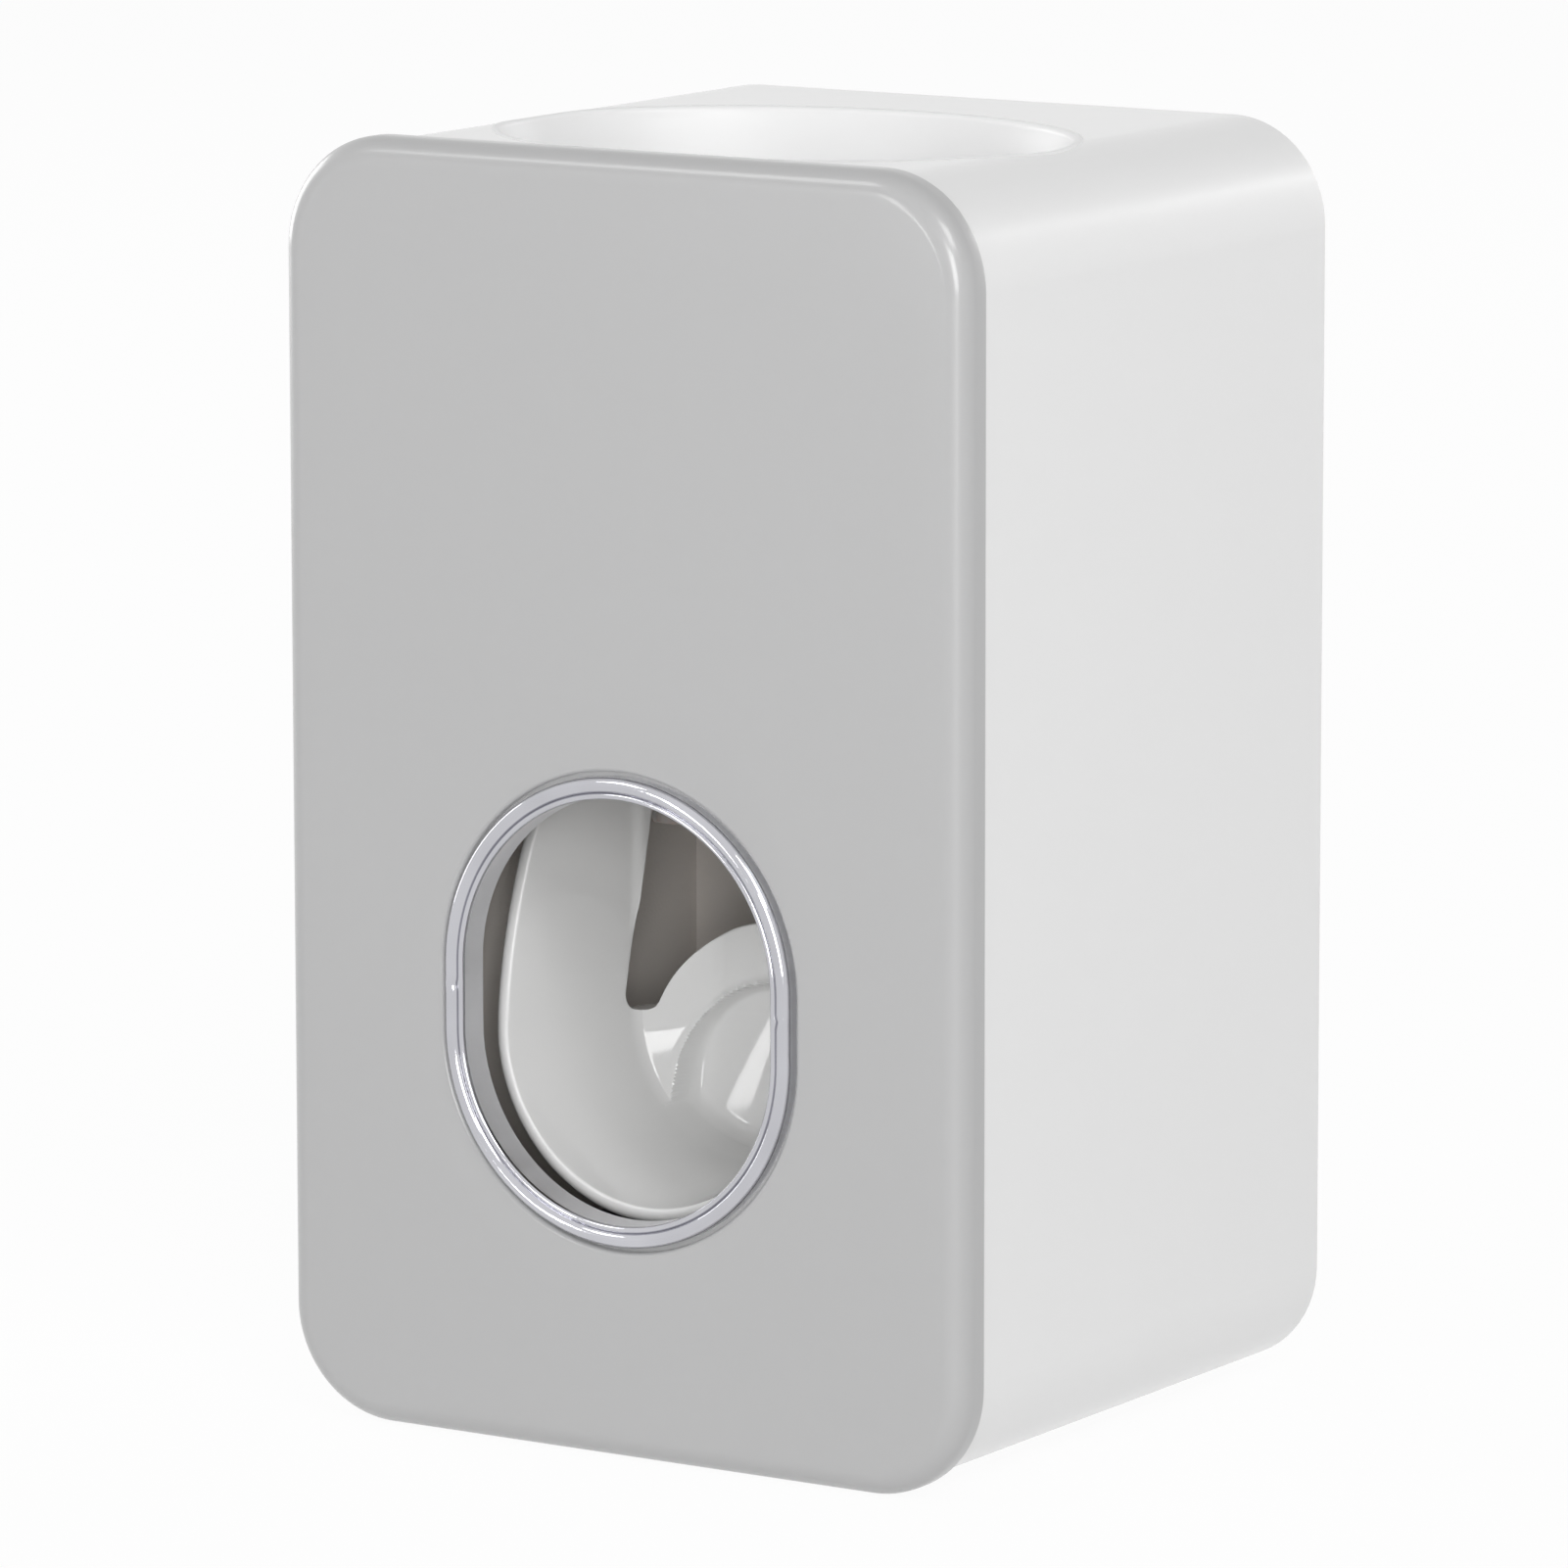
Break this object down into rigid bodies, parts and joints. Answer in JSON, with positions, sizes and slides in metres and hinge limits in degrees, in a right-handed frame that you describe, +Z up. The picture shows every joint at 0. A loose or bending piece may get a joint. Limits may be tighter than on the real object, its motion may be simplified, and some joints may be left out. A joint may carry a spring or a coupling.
{
  "type": "toothpaste dispenser",
  "caption": "Wall-mounted upright box that squeezes paste onto a brush: oval tube well on top, grey front cover with a bright obround ring, and a white push lever inside it.",
  "frame": {"origin": "middle of the adhesive pad's face that lies on the wall", "axes": "+Z up, -Y towards the user in front of the dispenser, +X to that user's right"},
  "size_m": [0.0924, 0.0824, 0.15],
  "materials": {
    "cover_grey": "satin light grey",
    "housing_white": "glossy white",
    "lever_white": "glossy white",
    "frame_taupe": "matte warm grey",
    "pump_plastic": "warm grey, fine matte",
    "plate_plastic": "matte white",
    "chrome": "mirror plated",
    "steel": "bright zinc and stainless steel",
    "silicone": "translucent soft silicone",
    "grommet_rubber": "black rubber",
    "foam_tape": "foam tape"
  },
  "bodies": {
    "wall_bracket": {"wall_plate": "plate_plastic", "adhesive_pad": "foam_tape"},
    "housing": {"housing_shell": "housing_white", "peg_grommets": "grommet_rubber", "inner_frame": "frame_taupe", "frame_screws": "steel", "tube_funnel": "housing_white", "funnel_screws": "steel", "inlet_sleeve": "silicone", "inlet_valve": "silicone", "pump_block": "pump_plastic", "pump_screws": "steel", "pump_cap": "pump_plastic", "cap_screws": "steel", "return_spring": "steel", "pivot_pin": "steel", "pin_clip": "steel"},
    "front_cover": {"front_cover": "cover_grey", "chrome_ring": "chrome", "ring_retainer": "plate_plastic"},
    "lever": {"push_lever": "lever_white"},
    "plunger": {"plunger": "pump_plastic", "plunger_seal": "silicone", "outlet_nozzle": "pump_plastic", "outlet_valve": "silicone"}
  },
  "joints": [
    {"name": "housing_lift", "type": "slide", "parent": "wall_bracket", "child": "housing", "axis": [0, 0, 1], "range_m": [0, 0.01]},
    {"name": "cover_pull", "type": "slide", "parent": "housing", "child": "front_cover", "axis": [0, -1, 0], "range_m": [0, 0.012]},
    {"name": "lever_push", "type": "hinge", "parent": "housing", "child": "lever", "pos_m": [0, -0.0554, 0.02], "axis": [1, 0, 0], "range_deg": [0, 15], "stiffness_Nm_per_rad": 0.6, "springref_deg": -11.46},
    {"name": "plunger_stroke", "type": "slide", "parent": "housing", "child": "plunger", "axis": [0, 1, 0], "range_m": [0, 0.0045], "deforming": ["return_spring"]}
  ],
  "couplings": [
    {"joint": "plunger_stroke", "follows": "lever_push", "m_per_rad": 0.0168}
  ]
}
